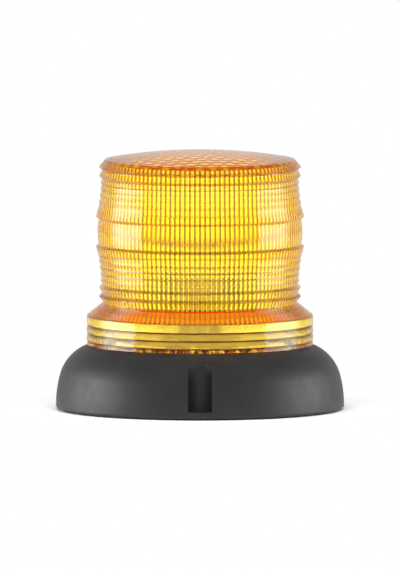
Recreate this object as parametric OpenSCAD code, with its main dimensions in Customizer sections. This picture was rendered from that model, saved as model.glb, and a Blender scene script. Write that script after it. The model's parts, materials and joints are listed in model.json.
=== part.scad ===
// Xenon flashing beacon: an amber ribbed lens on a round black base with three bolt pockets.
// The origin is the centre of the mounting face, +Z is up and one bolt pocket faces -Y.

/* [Lens] */
// Nominal radius of the ribbed wall of the lens
lens_r = 55; // [50:0.5:60]
// Wall thickness of the lens
lens_wall = 3.1; // [2.5:0.1:3.5]
// How far the collar at the foot of the lens stands out from the ribbed wall
collar_step = 7.9; // [7:0.1:9]
// Height of the straight part of the collar
collar_h = 15.7; // [14:0.1:20]
// Height of the sloping shoulder above the collar
shoulder_h = 8; // [6:0.5:12]
// Height of the plain neck between the shoulder and the lowest ring
neck_h = 3.2; // [2:0.1:6]
// How far the crown of the top bulges above its edge
crown_rise = 4.6; // [2:0.1:8]
// Number of vertical flutes round the inner wall
flute_count = 120; // [90:10:120]
// Depth of one flute
flute_h = 0.7; // [0.3:0.05:0.9]

/* [Collar grooves] */
// Number of grooves round the collar
groove_count = 3; // [2:1:3]
// Distance from one groove to the next
groove_pitch = 4.4; // [3.5:0.1:4.6]
// Width and depth of a groove
groove_size = 0.55; // [0.3:0.05:0.8]

/* [Base housing] */
// How far the base spreads out beyond the collar
base_flare = 17.1; // [16:0.1:20]
// Wall of the outer skirt
skirt_wall = 3; // [2:0.5:3.5]
// Thickness of the deck that the lens stands on
deck_t = 3; // [2.5:0.5:4]
// Wall of the tub that holds the electronics
tub_wall = 2.5; // [2:0.1:3]

/* [Bolt pockets] */
// Width of each bolt pocket
pocket_w = 13.3; // [12:0.1:14]
// Depth of each pocket, inwards from the widest edge of the base
pocket_depth = 10.85; // [10:0.05:11.5]
// Height of the pocket floor above the mounting face
pocket_floor_z = 4.5; // [4:0.5:8]
// Distance from the widest edge of the base to the middle of the mounting holes
bolt_inset = 5.8; // [5.7:0.1:6]
// Diameter of the mounting holes
bolt_hole_d = 5.5; // [4.5:0.1:5.8]

/* [Lamp] */
// Outside diameter of the flash tube
tube_d = 6; // [5:0.5:7]
// Wall of the flash tube
tube_wall = 1; // [0.8:0.1:1.2]
// Distance between the two legs of the flash tube
leg_spacing = 14; // [13:0.5:16]
// Height of the flash tube above its socket
tube_h = 40; // [34:1:46]
// Outside radius of the lamp stand
stand_r = 12; // [11.5:0.5:14]
// Diameter of each column of the lamp stand
stand_column_d = 3.4; // [3:0.1:4]
// Height of the tube socket
socket_h = 7; // [5:0.5:9]
// Room between the reflector plate and the foot of the lens
reflector_gap = 3.5; // [2:0.5:6]
// Thickness of the reflector plate
reflector_t = 1.2; // [0.8:0.1:2]

/* [Electronics] */
// Thickness of the circuit board
board_t = 1.6; // [1.2:0.2:2]
// Room under the circuit board for the terminal block
board_gap = 10; // [9:0.5:12]
// Diameter of the storage capacitor
capacitor_d = 16; // [13:0.5:18]
// Length of the storage capacitor
capacitor_l = 30; // [25:1:32]
// Height of the inverter transformer
transformer_h = 14.5; // [12:0.5:15]
// Height of the heatsink
sink_h = 16.5; // [16:0.5:20]

/* [Fasteners and seals] */
// Radius of the screw shanks
screw_r = 1.5; // [1.2:0.1:1.6]
// Radius of the screw heads
head_r = 2.8; // [2.4:0.1:3]
// Height of the screw heads
head_h = 2; // [1.5:0.1:2.4]
// Thickness of the gasket under the base
gasket_t = 1.5; // [1.2:0.1:2]
// How far the gasket stands out of the base
gasket_proud = 0.4; // [0.2:0.1:0.8]
// Thickness of the bottom cover
cover_t = 2.5; // [2:0.5:3]
// Bore of the cable grommet
grommet_bore_d = 6.4; // [4:0.2:7]

/* [Hidden] */
$fn = 96;

// Small gaps and overlaps
fit = 0.05;         // radial play of a shank, pin or disc in its hole
cut = 1;            // how far a cutting shape runs past the face that it cuts
seat_gap = 0.2;     // gap under a round part that lies on the board
tip_gap = 0.5;      // room past the tip of a screw

// Radii that follow from the lens
collar_r = lens_r + collar_step;    // outside of the collar
base_r = collar_r + base_flare;     // widest radius of the base
tub_r = collar_r + 1.1;             // inside of the tub
board_margin = 14;                  // free ring of the tub around the circuit board
board_r = tub_r - board_margin;     // edge of the circuit board

// Heights that follow from what stands in the tub
cover_z = gasket_t;
cover_top_z = cover_z + cover_t;
board_z = cover_top_z + board_gap;
board_top_z = board_z + board_t;
top_gap = 0.9;                      // air between the tallest component and the deck
tab_lift = 3;                       // height of the power transistor above the board
tab_h = 13;                         // height of its metal tab
tallest = max(capacitor_d + seat_gap, transformer_h + head_h, sink_h, tab_lift + tab_h);
deck_z = board_top_z + tallest + top_gap + deck_t;

// Base
rim_z = gasket_proud;               // lowest edge of the skirt
rim_fillet = 2.3;                   // rounding of that edge
rim_bite = 0.1;                     // how far that rounding runs past the side
side_arc_r = 61;                    // large arc of the side
side_drop = 33;                     // from the deck down to the widest point
side_arc_z = deck_z - side_drop;    // height of the widest point
shoulder_arc_r = 24.4;              // smaller arc that rolls over to the deck
arc_angle = 16.8;                   // direction of the point where the two arcs meet
arc_kink = 2;                       // how much the outline turns at that point
side_centre = [base_r - side_arc_r, side_arc_z];
meet = side_centre + side_arc_r * [cos(arc_angle), sin(arc_angle)];
shoulder_centre = meet - shoulder_arc_r * [cos(arc_angle + arc_kink), sin(arc_angle + arc_kink)];
tub_outer_r = tub_r + tub_wall;
foot_band = 5.5;                    // width of the skirt where it meets the gasket
skirt_foot_r = base_r - foot_band;

// Bolt pockets
pocket_angles = [-90, 30, 150];
pocket_r = pocket_w / 2;
pocket_back_r = base_r - pocket_depth + pocket_r;   // centre of the rounded back of a pocket
pocket_wall = 3;
bolt_r = base_r - bolt_inset;

// Mounting gasket
gasket_out_r = base_r - 2.5;
gasket_in_r = tub_r - 0.5;

// Bottom cover and its seal
cover_r = tub_r - 0.3;
seal_t = 1.5;
seal_in_r = tub_r - 3;
seal_out_r = tub_r - 0.5;
ledge_in_r = tub_r - 4;
ledge_t = 2.5;
ledge_z = cover_top_z + seal_t;
cover_screw_r = tub_r - 7;
cover_screw_l = 10;
cover_screw_angles = pocket_angles;
cover_recess = 1;                   // depth of the counterbore that each cover screw head sits in
post_r = 3.5;                       // radius of every screw post
cover_post_h = 12;

// Cable grommet
grommet_neck_r = grommet_bore_d / 2 + 3.2;
grommet_flange_r = grommet_neck_r + 2.6;
grommet_clear = 0.2;                // how far the grommet stays above the mounting face
grommet_flange_t = 2;
grommet_h = 10;

// Lens
focal_span = 36.1;                  // from the focal plane to the outermost ring tip
collar_top_z = deck_z + collar_h;
neck_z = collar_top_z + shoulder_h;
focal_z = neck_z + neck_h + focal_span;
neck_r = lens_r - 1.3;
collar_bevel = [0.5, 1.1];
groove_slope = 3;                   // rise of the bevel below each groove, for each millimetre outwards
belt_half_h = 6.8;                  // half height of the plain belt at the focal plane
belt_bulge_r = 37;                  // radius of the belt's bulge, seen from the side
belt_edge = 1.3;                    // how far the belt's edge stands out from the wall
belt_bite = 0.6;                    // how far the bulge and the rings beside it run into each other
// Each ring: height of its tip above or below the focal plane, how far the tip and the valley
// beyond it stand out from the nominal wall, and the height of that valley
rings = [
    [8.4, 2.8, 15.2, 0.8],
    [16.2, 1.1, 18.7, 0.25],
    [20.05, 0.65, 22.6, -0.2],
    [23.8, 0.2, 26, -0.4],
    [27.2, 0.1, 29.3, -0.55],
    [31, 1, 34.1, -0.65]];
last_tip = 1.1;
chamfer_w = 3.4;
chamfer_h = 3.9;
crown_edge_r = lens_r + last_tip - chamfer_w;
crown_edge_z = focal_z + focal_span + chamfer_h;
crown_r = (crown_edge_r * crown_edge_r + crown_rise * crown_rise) / (2 * crown_rise);
crown_centre_z = crown_edge_z + crown_rise - crown_r;
inner_r = lens_r - lens_wall;
collar_inner_r = collar_r - lens_wall;
foot_in_r = collar_r - 10.4;
foot_t = 2.4;
shoulder_floor_z = collar_top_z - 0.3;  // flat underside of the solid shoulder, where the flutes end

// Lens fixing
lens_screw_angles = [90, 210, 330];
lens_screw_r = collar_r - 6;
lens_screw_l = 9;
lens_post_h = lens_screw_l - deck_t + 1.5;
seal_ring_in_r = collar_r - 3.9;
seal_ring_out_r = collar_r - 0.9;
seal_ring_t = 1;

// Lamp
tube_r = tube_d / 2;
leg_x = leg_spacing / 2;
reflector_z = deck_z;
reflector_r = foot_in_r - reflector_gap;
reflector_top_z = reflector_z + reflector_t;
tube_foot_z = focal_z - tube_h / 2;
socket_z = tube_foot_z - socket_h;
socket_r = stand_r - 0.2;
socket_recess = 4;
stand_flange_t = 2.4;
stand_flange_r = stand_r + 10;
stand_top_t = 2;
stand_rim_h = 2.5;
stand_rim_t = 1.6;
stand_screw_angles = [90, 210, 330];
stand_screw_r = stand_r + 6;
stand_post_r = 3.2;
stand_post_h = 6;
stand_screw_l = 8;
stand_column_angles = [30, 150, 270];
stand_column_gap = 0.35;            // how far a column stays inside the edges of the top plate
stand_column_at = stand_r + stand_rim_t - stand_column_gap - stand_column_d / 2;
wire_hole_r = stand_column_at - stand_column_d / 2 - stand_column_gap;
pin_r = 0.5;
electrode_l = 6;
lead_r = 0.9;
trigger_wire_r = 0.3;
trigger_turns = 5;
trigger_steps = 20;                 // points on each turn
trigger_y = 6;
trigger_coil_r = tube_r + trigger_wire_r + 0.1;
trigger_low_z = tube_foot_z + 5;
trigger_pitch = 4;

// Electronics
board_post_angles = [45, 135, 225, 315];
board_post_r = board_r - 6;
board_post_at = board_post_r * cos(45);     // x and y of the post at 45 degrees
board_screw_l = 8;
tail = 1.2;                         // how far leads stand out below the board
wire_d = 0.8;                       // component leads
lead_pitch = 2.54;

// Storage capacitor, which lies along Y. A bead is [distance from the end, width, depth]
cap_r = capacitor_d / 2;
cap_x = -25;
cap_lead_x = 3.5;
cap_lead_run = 2.5;
cap_bead = [2, 1, 0.5];

// Input capacitor
input_at = [-17, 31];
input_r = 5;
input_h = 12.5;
input_lead_x = 2.5;
input_bead = [1.5, 0.8, 0.4];

// Transformer: a ferrite frame with a middle leg, its bobbin and its winding
core_x = 26;
core_w = 18;
core_depth = 7;
core_arm = 3.5;
core_leg = 4;
core_lift = 1.5;
core_h = transformer_h - core_lift;
core_pin_x = 5;
core_pin_out = 4;
coil_gap = 0.15;
coil_out = 3.2;
coil_base_z = board_top_z + core_lift + core_arm + coil_gap;
coil_h = core_h - 2 * core_arm - 2 * coil_gap;
bobbin_t = 0.7;
bobbin_foot_w = 4.8;
bobbin_rib_t = 1.6;

// Trigger coil and its capacitor
coil_at = [-13, -27];
coil_body_r = 4.6;
coil_flange_r = 5.5;
coil_foot_t = 1.5;
coil_body_h = 12;
coil_lid_t = 1;
coil_pins = [[-3, -2], [3, -2], [0, 3]];
film_y = -39;
film_size = [18, 6, 12];
film_lead_x = 7.5;

// Power transistor on its heatsink
transistor_x = 15;
transistor_size = [10, 3.4, 7.8];
tab_t = 1.2;
tab_hole_h = 14;
tab_hole_z = board_top_z + tab_hole_h;
tab_screw_l = 5;
sink_w = 16;
sink_depth = 9;
sink_t = 2;
sink_gaps = 3;
sink_y = -22.6;                     // face of the heatsink that the tab is screwed to
transistor_y = sink_y + tab_t;

// Fuse in its clips
fuse_y = 38;
fuse_r = 2.5;
fuse_l = 20;
fuse_cap_l = 5;
fuse_glass_in = 0.15;
fuse_z = board_top_z + fuse_r + 1.5;
clip_t = 0.6;
clip_w = 4;
clip_inset = 0.5;
clip_foot_w = 3;
clip_lead_x = 9;

// Terminal block under the board
terminal_size = [11, 8, board_gap - 1];
terminal_inset_x = 11.1;
terminal_inset_y = 16.5;
terminal_x = board_post_at - terminal_inset_x;
terminal_y = board_r - terminal_inset_y;
terminal_pitch = 5;
terminal_well_r = 1.6;
terminal_well_h = 5;
terminal_wire_r = 1.5;
terminal_wire_z = 5.5;
terminal_wire_l = 6;
terminal_screw_h = 4;
terminal_screw_in = 1;
terminal_slot_w = 0.5;
terminal_slot_h = 0.7;

// Small parts: [x, y] of the first or only one, body radius and length, span of the leads, height
diode_at = [-7, 21];
diode_count = 4;
diode_pitch = 4.5;
diode_r = 1.4;
diode_l = 5.2;
diode_span = 10;
diode_lift = 1.6;
resistor_count = 5;
resistor_pitch = 3.6;
resistor_r = 1.2;
resistor_l = 6.4;
resistor_span = 11;
resistor_lift = 1.4;
resistor_inset = 17.1;
resistor_at = [board_post_at - resistor_inset, board_post_at - post_r - resistor_span / 2 - 0.1];
chip_at = [-7.2, -13];
chip_size = [9.6, 6.4, 3.4];
chip_lift = 0.5;
chip_rows = 7.62;
chip_pins = 4;
chip_notch_r = 0.9;
chip_lead_z = board_top_z + 1.6;
chip_lead_t = 0.4;
thyristor_at = [2, -25];
thyristor_r = 2.4;
thyristor_h = 5;
thyristor_flat = 1.2;
thyristor_lift = 2;
thyristor_pitch = 1.5;

// A copy of the children at each angle, at radius r
module around(angles, r) {
    for (a = angles) rotate([0, 0, a]) translate([r, 0, 0]) children();
}

// A flat ring from height z
module ring(z, h, r_out, r_in) {
    translate([0, 0, z]) difference() {
        cylinder(h = h, r = r_out);
        translate([0, 0, -cut]) cylinder(h = h + 2 * cut, r = r_in);
    }
}

// A pan-head screw that points up, with the seat of its head at z = 0
module screw(length) {
    difference() {
        union() {
            cylinder(h = length, r = screw_r);
            translate([0, 0, -head_h]) cylinder(h = head_h, r = head_r);
        }
        for (a = [0, 90]) rotate([0, 0, a])
            translate([-head_r * 0.6, -0.35, -head_h - cut])
                cube([head_r * 1.2, 0.7, cut + head_h * 0.55]);
    }
}

// A hole for a screw shank from z upwards
module shank_hole(z, h) {
    translate([0, 0, z]) cylinder(h = h, r = screw_r + fit);
}

// Side view of the dome, shrunk by t on every side
module dome_profile(t) {
    intersection() {
        translate(side_centre) circle(r = side_arc_r - t, $fn = 180);
        union() {
            translate(shoulder_centre) circle(r = shoulder_arc_r - t, $fn = 180);
            square([2 * base_r, meet.y - cut]);
            square([shoulder_centre.x, shoulder_centre.y + shoulder_arc_r - t]);
        }
    }
}

// Outer form of the base, from its rounded rim to the deck
module base_form() {
    rotate_extrude() intersection() {
        dome_profile(0);
        union() {
            translate([0, rim_z + rim_fillet]) square([2 * base_r, deck_z - rim_z - rim_fillet]);
            translate([0, rim_z]) square([base_r - rim_fillet + rim_bite, rim_fillet + cut]);
            translate([base_r - rim_fillet + rim_bite, rim_z + rim_fillet]) circle(r = rim_fillet);
        }
    }
}

// Space between the tub and the skirt
module skirt_space() {
    rotate_extrude() intersection() {
        dome_profile(skirt_wall);
        translate([tub_outer_r, 0]) square([skirt_foot_r - tub_outer_r, deck_z]);
    }
}

// Plan of a bolt pocket, grown by g, that opens outwards along +X
module pocket_plan(g) {
    circle(r = pocket_r + g);
    translate([0, -pocket_r - g]) square([base_r, pocket_w + 2 * g]);
}

module base_housing() {
    color([0.09, 0.09, 0.095]) difference() {
        union() {
            difference() {
                base_form();
                skirt_space();
                translate([0, 0, -cut]) cylinder(h = deck_z - deck_t + cut, r = tub_r);
            }
            intersection() {
                base_form();
                around(pocket_angles, pocket_back_r) linear_extrude(deck_z) {
                    pocket_plan(pocket_wall);
                    translate([tub_r + cut - pocket_back_r, -pocket_wall / 2])
                        square([pocket_back_r - tub_r - cut, pocket_wall]);
                }
            }
            ring(ledge_z, ledge_t, tub_r + cut, ledge_in_r);
            around(cover_screw_angles, cover_screw_r) {
                translate([0, 0, cover_top_z]) cylinder(h = cover_post_h, r = post_r);
                translate([0, -post_r / 2, ledge_z + ledge_t / 2])
                    cube([tub_r - cover_screw_r + cut, post_r, cover_post_h - seal_t - ledge_t / 2]);
            }
            around(board_post_angles, board_post_r)
                translate([0, 0, board_top_z])
                    cylinder(h = deck_z - deck_t - board_top_z + fit, r = post_r);
        }
        around(pocket_angles, pocket_back_r)
            translate([0, 0, pocket_floor_z]) linear_extrude(deck_z) pocket_plan(0);
        around(pocket_angles, bolt_r)
            translate([0, 0, -cut]) cylinder(h = deck_z, d = bolt_hole_d);
        translate([0, 0, -cut]) cylinder(h = gasket_t + cut, r = gasket_out_r + fit);
        ring(deck_z - seal_ring_t, seal_ring_t + cut, seal_ring_out_r, seal_ring_in_r);
        translate([0, 0, deck_z - deck_t - cut]) cylinder(h = deck_t + 2 * cut, r = wire_hole_r);
        around(cover_screw_angles, cover_screw_r)
            shank_hole(0, cover_z + cover_recess + cover_screw_l + tip_gap);
        around(board_post_angles, board_post_r) shank_hole(board_z, board_screw_l + tip_gap);
        around(lens_screw_angles, lens_screw_r) shank_hole(deck_z - deck_t - cut, deck_t + 2 * cut);
        around(stand_screw_angles, stand_screw_r)
            shank_hole(deck_z - deck_t - cut, deck_t + 2 * cut);
    }
}

module mounting_gasket() {
    color([0.05, 0.05, 0.05]) difference() {
        ring(0, gasket_t, gasket_out_r, gasket_in_r);
        around(pocket_angles, bolt_r) translate([0, 0, -cut])
            cylinder(h = gasket_t + 2 * cut, d = bolt_hole_d);
    }
}

module bottom_cover() {
    color([0.12, 0.12, 0.125]) difference() {
        translate([0, 0, cover_z]) cylinder(h = cover_t, r = cover_r);
        translate([0, 0, -cut]) cylinder(h = deck_z, r = grommet_neck_r + fit);
        around(cover_screw_angles, cover_screw_r) {
            shank_hole(0, deck_z);
            translate([0, 0, -cut])
                cylinder(h = cover_z + cut + cover_recess, r = head_r + 2 * fit);
        }
    }
}

module cover_seal() {
    color([0.2, 0.2, 0.21]) ring(cover_top_z, seal_t, seal_out_r, seal_in_r);
}

module cover_screws() {
    color([0.72, 0.72, 0.74]) around(cover_screw_angles, cover_screw_r)
        translate([0, 0, cover_z + cover_recess]) screw(cover_screw_l);
}

module cable_grommet() {
    color([0.06, 0.06, 0.06]) rotate_extrude() difference() {
        union() {
            translate([0, grommet_clear])
                square([grommet_flange_r, cover_z - grommet_clear]);
            translate([0, grommet_clear]) square([grommet_neck_r, grommet_h - grommet_clear]);
            translate([0, cover_top_z]) square([grommet_flange_r - 0.6, grommet_flange_t]);
        }
        translate([0, -cut]) square([grommet_bore_d / 2, grommet_h + 2 * cut]);
    }
}

module lens_gasket() {
    color([0.16, 0.16, 0.17])
        ring(deck_z - seal_ring_t, seal_ring_t, seal_ring_out_r, seal_ring_in_r);
}

// Outline of the rings on one side of the focal plane: s is 1 above it and -1 below it
function ring_points(s) = [for (p = rings) each [
    [lens_r + p[1], focal_z + s * p[0]],
    [lens_r + p[3], focal_z + s * p[2]]]];
function backwards(list) = [for (i = [len(list) - 1:-1:0]) list[i]];

// Half section of the outside of the lens, without its crown
module lens_profile() {
    belt = [lens_r + belt_edge, belt_half_h];
    belt_dx = belt_bulge_r - sqrt(belt_bulge_r * belt_bulge_r - belt.y * belt.y);
    difference() {
        union() {
            polygon(concat(
                [[0, deck_z], [collar_r, deck_z], [collar_r, collar_top_z],
                    [collar_r - collar_bevel.x, collar_top_z + collar_bevel.y], [neck_r, neck_z],
                    [lens_r + last_tip, focal_z - focal_span]],
                backwards(ring_points(-1)),
                [[belt.x - belt_bite, focal_z - belt.y + belt_bite],
                    [belt.x - belt_bite, focal_z + belt.y - belt_bite]],
                ring_points(1),
                [[lens_r + last_tip, focal_z + focal_span],
                    [crown_edge_r - chamfer_w, crown_edge_z + chamfer_h],
                    [crown_edge_r - chamfer_w, crown_edge_z + crown_rise + cut],
                    [0, crown_edge_z + crown_rise + cut]]));
            intersection() {
                translate([belt.x + belt_dx - belt_bulge_r, focal_z])
                    circle(r = belt_bulge_r, $fn = 180);
                translate([0, focal_z - belt.y - belt_bite])
                    square([2 * base_r, 2 * (belt.y + belt_bite)]);
            }
        }
        for (i = [1:groove_count]) let (top = collar_top_z - i * groove_pitch)
            polygon([[collar_r + cut, top], [collar_r - groove_size, top],
                [collar_r - groove_size, top - groove_size],
                [collar_r + cut, top - groove_size - groove_slope * (groove_size + cut)]]);
    }
}

// Section of everything under the crown, t below its surface
module crown_section(t) {
    intersection() {
        translate([0, crown_centre_z]) circle(r = crown_r - t, $fn = 180);
        square([2 * base_r, crown_edge_z + crown_rise + cut]);
    }
}

// Plan of the space inside the fluted wall: each flute bulges inwards between two cusps
module flute_plan() {
    bulge = [0, 0.75, 1, 0.75];
    steps = len(bulge);
    polygon([for (i = [0:flute_count * steps - 1])
        let (a = i * 360 / (flute_count * steps), r = inner_r - flute_h * bulge[i % steps])
            r * [cos(a), sin(a)]]);
}

module lens() {
    color([1, 0.66, 0.05, 0.55]) difference() {
        union() {
            difference() {
                rotate_extrude() intersection() {
                    lens_profile();
                    crown_section(0);
                }
                intersection() {
                    translate([0, 0, shoulder_floor_z - cut])
                        linear_extrude(crown_edge_z) flute_plan();
                    rotate_extrude() crown_section(lens_wall);
                }
                rotate_extrude() polygon([
                    [0, deck_z - cut], [foot_in_r, deck_z - cut], [foot_in_r, deck_z + foot_t],
                    [collar_inner_r, deck_z + foot_t], [collar_inner_r, shoulder_floor_z],
                    [0, shoulder_floor_z]]);
            }
            around(lens_screw_angles, lens_screw_r)
                translate([0, 0, deck_z]) cylinder(h = lens_post_h, r = post_r);
        }
        around(lens_screw_angles, lens_screw_r)
            shank_hole(deck_z - cut, cut + lens_screw_l - deck_t + tip_gap);
    }
}

module lens_screws() {
    color([0.72, 0.72, 0.74]) around(lens_screw_angles, lens_screw_r)
        translate([0, 0, deck_z - deck_t]) screw(lens_screw_l);
}

module reflector_plate() {
    color([0.93, 0.93, 0.9]) difference() {
        translate([0, 0, reflector_z]) cylinder(h = reflector_t, r = reflector_r);
        translate([0, 0, -cut]) cylinder(h = focal_z, r = wire_hole_r);
        around(stand_screw_angles, stand_screw_r) shank_hole(0, focal_z);
    }
}

module lamp_stand() {
    color([0.9, 0.89, 0.85]) difference() {
        union() {
            translate([0, 0, reflector_top_z]) cylinder(h = stand_flange_t, r = stand_flange_r);
            translate([0, 0, socket_z - stand_top_t])
                cylinder(h = stand_top_t + stand_rim_h, r = stand_r + stand_rim_t);
            around(stand_column_angles, stand_column_at) translate([0, 0, reflector_top_z])
                cylinder(h = socket_z - reflector_top_z - stand_top_t / 2, d = stand_column_d);
            around(stand_screw_angles, stand_screw_r)
                translate([0, 0, reflector_top_z]) cylinder(h = stand_post_h, r = stand_post_r);
        }
        translate([0, 0, socket_z]) cylinder(h = stand_rim_h + cut, r = stand_r);
        translate([0, 0, reflector_top_z - cut])
            cylinder(h = focal_z - reflector_top_z, r = wire_hole_r);
        around(stand_screw_angles, stand_screw_r)
            shank_hole(0, deck_z - deck_t + stand_screw_l + tip_gap);
    }
}

module stand_screws() {
    color([0.72, 0.72, 0.74]) around(stand_screw_angles, stand_screw_r)
        translate([0, 0, deck_z - deck_t]) screw(stand_screw_l);
}

// Places the children on both legs of the flash tube
module on_legs() {
    for (s = [-1, 1]) translate([s * leg_x, 0, 0]) children();
}

module tube_socket() {
    color([0.88, 0.86, 0.8]) difference() {
        translate([0, 0, socket_z]) cylinder(h = socket_h, r = socket_r);
        on_legs() {
            translate([0, 0, tube_foot_z - socket_recess])
                cylinder(h = socket_recess + cut, r = tube_r + fit);
            translate([0, 0, socket_z - cut]) cylinder(h = socket_h, r = pin_r + fit);
        }
        translate([0, trigger_y, socket_z - cut])
            cylinder(h = socket_h + 2 * cut, r = trigger_wire_r + fit);
    }
}

// The path of the glass tube: two legs and a half-round bend, swept with radius r
module u_tube(r) {
    leg_l = tube_h - leg_x - tube_r + socket_recess;
    on_legs() translate([0, 0, tube_foot_z - socket_recess]) cylinder(h = leg_l, r = r);
    translate([0, 0, tube_foot_z - socket_recess + leg_l]) rotate([90, 0, 0])
        rotate_extrude(angle = 180) translate([leg_x, 0]) circle(r = r, $fn = 48);
}

module flash_tube() {
    color([0.9, 0.93, 0.95, 0.35]) difference() {
        u_tube(tube_r);
        u_tube(tube_r - tube_wall);
        on_legs() translate([0, 0, tube_foot_z - socket_recess - cut])
            cylinder(h = 2 * cut, r = tube_r - tube_wall);
    }
}

module tube_electrodes() {
    color([0.6, 0.6, 0.62]) on_legs() {
        translate([0, 0, tube_foot_z - socket_recess])
            cylinder(h = electrode_l, r = tube_r - tube_wall - fit);
        translate([0, 0, socket_z])
            cylinder(h = socket_h - socket_recess, r = pin_r);
    }
}

// A round wire swept along a list of points, with 8 sides
module wire_sweep(points, r) {
    sides = 8;
    n = len(points);
    function heading(i) = points[min(i + 1, n - 1)] - points[max(i - 1, 0)];
    function unit(v) = v / norm(v);
    rims = [for (i = [0:n - 1])
        let (t = unit(heading(i)), u = unit(cross(t, [1, 0.3, 0.1])), w = cross(t, u))
            for (k = [0:sides - 1])
                points[i] + r * (cos(k * 360 / sides) * u + sin(k * 360 / sides) * w)];
    polyhedron(points = rims, faces = concat(
        [[for (k = [sides - 1:-1:0]) k]],
        [for (i = [0:n - 2], k = [0:sides - 1]) [i * sides + k, i * sides + (k + 1) % sides,
            (i + 1) * sides + (k + 1) % sides, (i + 1) * sides + k]],
        [[for (k = [0:sides - 1]) (n - 1) * sides + k]]));
}

trigger_path = concat(
    [[0, trigger_y, socket_z], [0, trigger_y, tube_foot_z + 1], [0, trigger_y, tube_foot_z + 3]],
    [for (i = [0:trigger_turns * trigger_steps])
        let (a = 130 + i * 360 / trigger_steps)
            [leg_x + trigger_coil_r * cos(a), trigger_coil_r * sin(a),
                trigger_low_z + i * trigger_pitch / trigger_steps]]);
module trigger_wire() {
    color([0.75, 0.72, 0.62]) wire_sweep(trigger_path, trigger_wire_r);
}

module tube_leads() {
    color([0.88, 0.87, 0.84])
        for (p = [[leg_x, 0], [-leg_x, 0], [0, trigger_y]]) translate([p.x, p.y, board_top_z])
            cylinder(h = socket_z - board_top_z, r = lead_r);
}

// One component lead: a round pin from height top, down through the board
module pin(x, y, top, grow) {
    translate([x, y, board_z - tail]) cylinder(h = top - board_z + tail, d = wire_d + 2 * grow);
}

// Leads of each component. The board is drilled with the same leads, grown by the fit
module capacitor_leads(grow) {
    for (s = [-1, 1])
        pin(cap_x + s * cap_lead_x, -capacitor_l / 2 - cap_lead_run, board_top_z + cap_r, grow);
}
module input_capacitor_leads(grow) {
    for (s = [-1, 1]) pin(input_at.x + s * input_lead_x, input_at.y, board_top_z, grow);
}
module transformer_leads(grow) {
    for (s = [-1, 1], k = [-1, 0, 1])
        pin(core_x + k * core_pin_x, s * (core_depth / 2 + core_pin_out), board_top_z, grow);
}
module trigger_coil_leads(grow) {
    for (p = coil_pins) pin(coil_at.x + p.x, coil_at.y + p.y, board_top_z, grow);
}
module trigger_capacitor_leads(grow) {
    for (s = [-1, 1]) pin(s * film_lead_x, film_y, board_top_z, grow);
}
module transistor_leads(grow) {
    for (s = [-1, 0, 1])
        pin(transistor_x + s * lead_pitch, transistor_y + transistor_size.y - 2, board_top_z + tab_lift,
            grow);
}
module fuse_clip_leads(grow) {
    for (s = [-1, 1]) pin(s * clip_lead_x, fuse_y, board_top_z, grow);
}
module diode_leads(grow) {
    for (i = [0:diode_count - 1], s = [-1, 1])
        pin(diode_at.x + i * diode_pitch, diode_at.y + s * diode_span / 2, board_top_z + diode_lift, grow);
}
module resistor_leads(grow) {
    for (i = [0:resistor_count - 1], s = [-1, 1])
        pin(resistor_at.x + i * resistor_pitch, resistor_at.y + s * resistor_span / 2,
            board_top_z + resistor_lift, grow);
}
function chip_pin_x(i) = chip_at.x + (i - (chip_pins - 1) / 2) * lead_pitch;
module chip_leads(grow) {
    for (i = [0:chip_pins - 1], s = [-1, 1])
        pin(chip_pin_x(i), chip_at.y + s * chip_rows / 2, chip_lead_z + chip_lead_t, grow);
}
module thyristor_leads(grow) {
    for (s = [-1, 0, 1])
        pin(thyristor_at.x + s * thyristor_pitch, thyristor_at.y, board_top_z + thyristor_lift, grow);
}

module circuit_board() {
    color([0.08, 0.32, 0.16]) difference() {
        translate([0, 0, board_z]) cylinder(h = board_t, r = board_r);
        around(board_post_angles, board_post_r) shank_hole(0, deck_z);
        capacitor_leads(fit);
        input_capacitor_leads(fit);
        transformer_leads(fit);
        trigger_coil_leads(fit);
        trigger_capacitor_leads(fit);
        transistor_leads(fit);
        fuse_clip_leads(fit);
        diode_leads(fit);
        resistor_leads(fit);
        chip_leads(fit);
        thyristor_leads(fit);
    }
}

module board_screws() {
    color([0.72, 0.72, 0.74]) around(board_post_angles, board_post_r)
        translate([0, 0, board_z]) screw(board_screw_l);
}

// A standing can with a bead rolled into it near its lower end
module can(r, h, bead) {
    difference() {
        cylinder(h = h, r = r);
        translate([0, 0, bead.x]) difference() {
            cylinder(h = bead.y, r = r + cut);
            translate([0, 0, -cut]) cylinder(h = bead.y + 2 * cut, r = r - bead.z);
        }
    }
}

module storage_capacitor() {
    color([0.08, 0.13, 0.3]) {
        translate([cap_x, -capacitor_l / 2, board_top_z + cap_r + seat_gap]) rotate([-90, 0, 0])
            can(cap_r, capacitor_l, cap_bead);
        for (s = [-1, 1])
            translate([cap_x + s * cap_lead_x, -capacitor_l / 2 - cap_lead_run - wire_d / 2,
                board_top_z + cap_r]) rotate([-90, 0, 0])
                    cylinder(h = cap_lead_run + wire_d / 2 + cut, d = wire_d);
        capacitor_leads(0);
    }
}

module input_capacitor() {
    color([0.1, 0.1, 0.12]) {
        translate([input_at.x, input_at.y, board_top_z]) can(input_r, input_h, input_bead);
        input_capacitor_leads(0);
    }
}

// Ferrite core: a closed frame with a middle leg
module transformer_core() {
    window_w = (core_w - 2 * core_arm - core_leg) / 2;
    color([0.2, 0.2, 0.21]) translate([core_x, 0, board_top_z + core_lift]) difference() {
        translate([-core_w / 2, -core_depth / 2, 0]) cube([core_w, core_depth, core_h]);
        for (s = [-1, 1])
            translate([s * (core_leg + window_w) / 2 - window_w / 2, -core_depth / 2 - cut, core_arm])
                cube([window_w, core_depth + 2 * cut, core_h - 2 * core_arm]);
    }
}

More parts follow.
